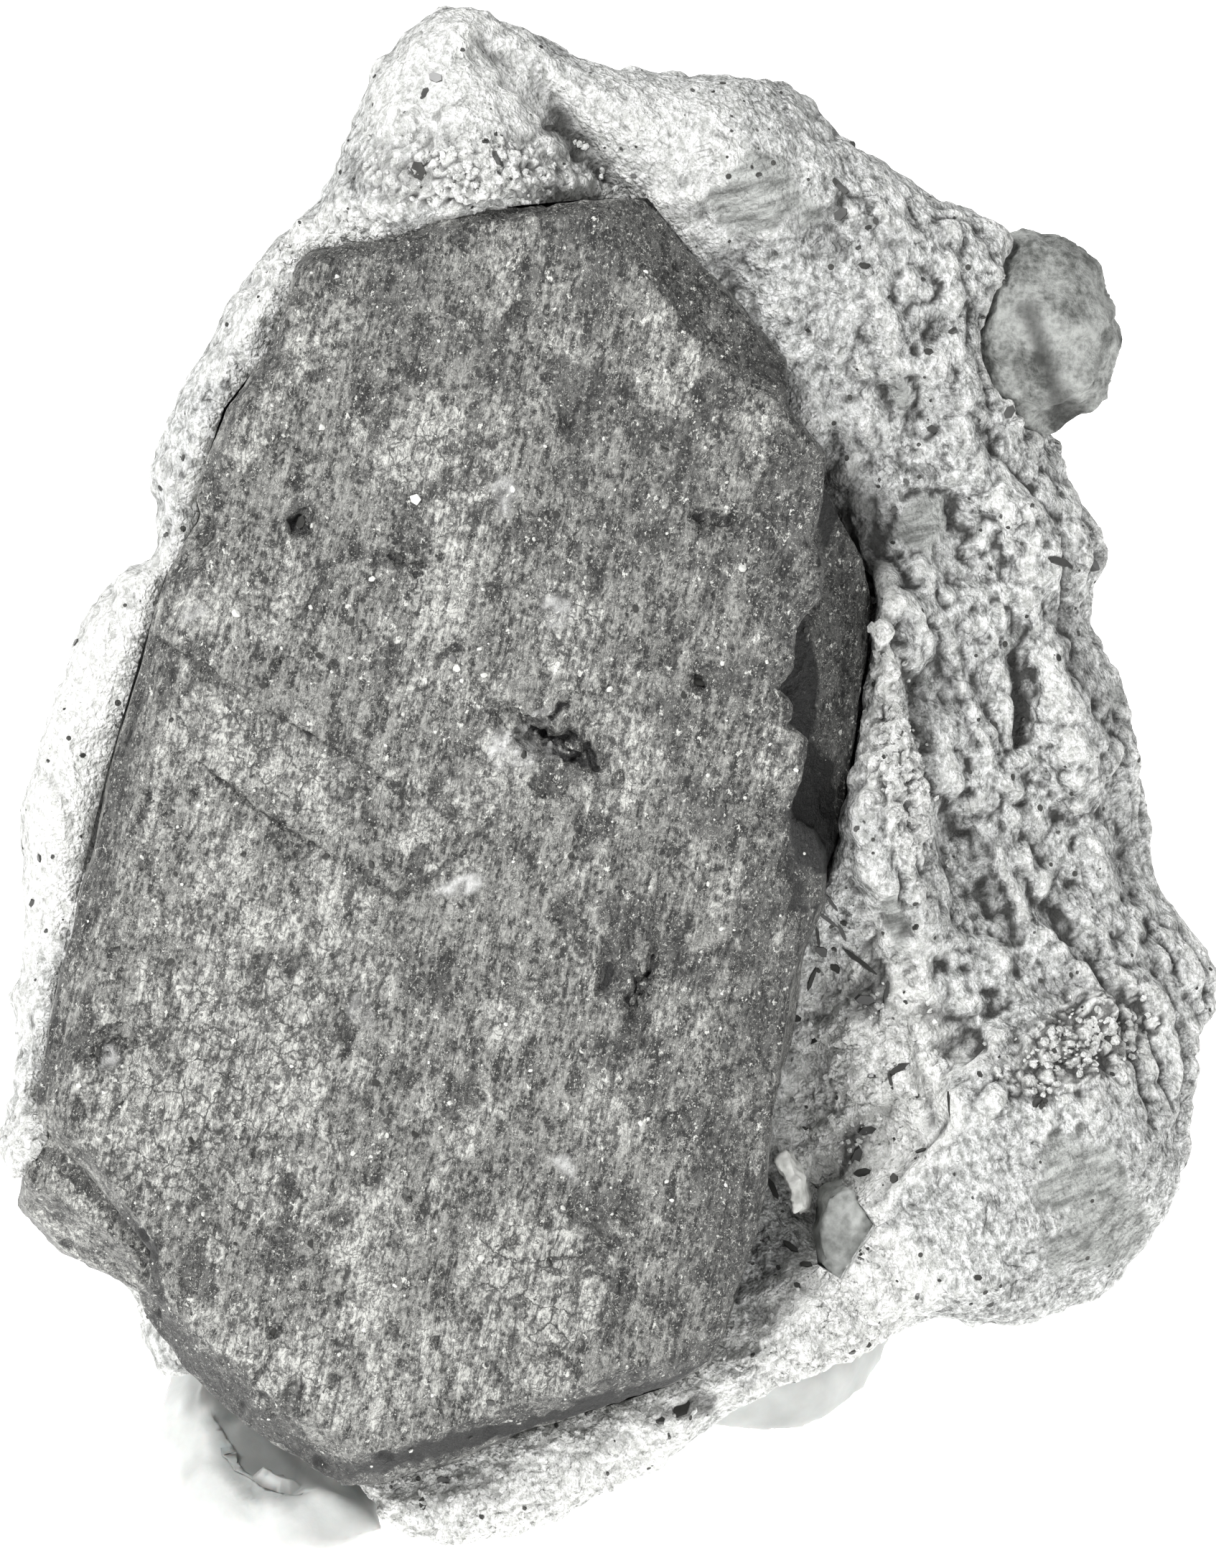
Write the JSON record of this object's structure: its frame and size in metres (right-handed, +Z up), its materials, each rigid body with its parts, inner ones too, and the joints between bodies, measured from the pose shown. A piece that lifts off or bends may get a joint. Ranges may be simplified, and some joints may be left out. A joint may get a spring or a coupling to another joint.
{
  "type": "sanidine crystal specimen on trachyte",
  "caption": "Large tabular sanidine crystal set in a lump of pale granular trachyte, leaning back on lumps of white putty.",
  "frame": {"origin": "on the surface that the specimen stands on, at the middle of its outline seen from above", "axes": "+Z up, the crystal's main face looks towards -Y and up, +X to the right of the face"},
  "size_m": [0.0724, 0.0552, 0.0794],
  "materials": {
    "trachyte": "rough, granular, pale grey with dark specks",
    "sanidine": "weathered grey cleavage faces with a dull glassy gloss",
    "enclave_rock": "rough fine-grained mid grey",
    "small_feldspar": "smooth grey cleavage faces",
    "white_feldspar": "white, slightly frosted",
    "putty": "smooth white putty, matt"
  },
  "bodies": {
    "root": {"matrix": "trachyte", "sanidine_crystal": "sanidine", "grey_enclave": "enclave_rock", "recess_crystal": "small_feldspar", "blade_crystal": "white_feldspar", "putty_left": "putty", "putty_right": "putty"}
  },
  "joints": []
}
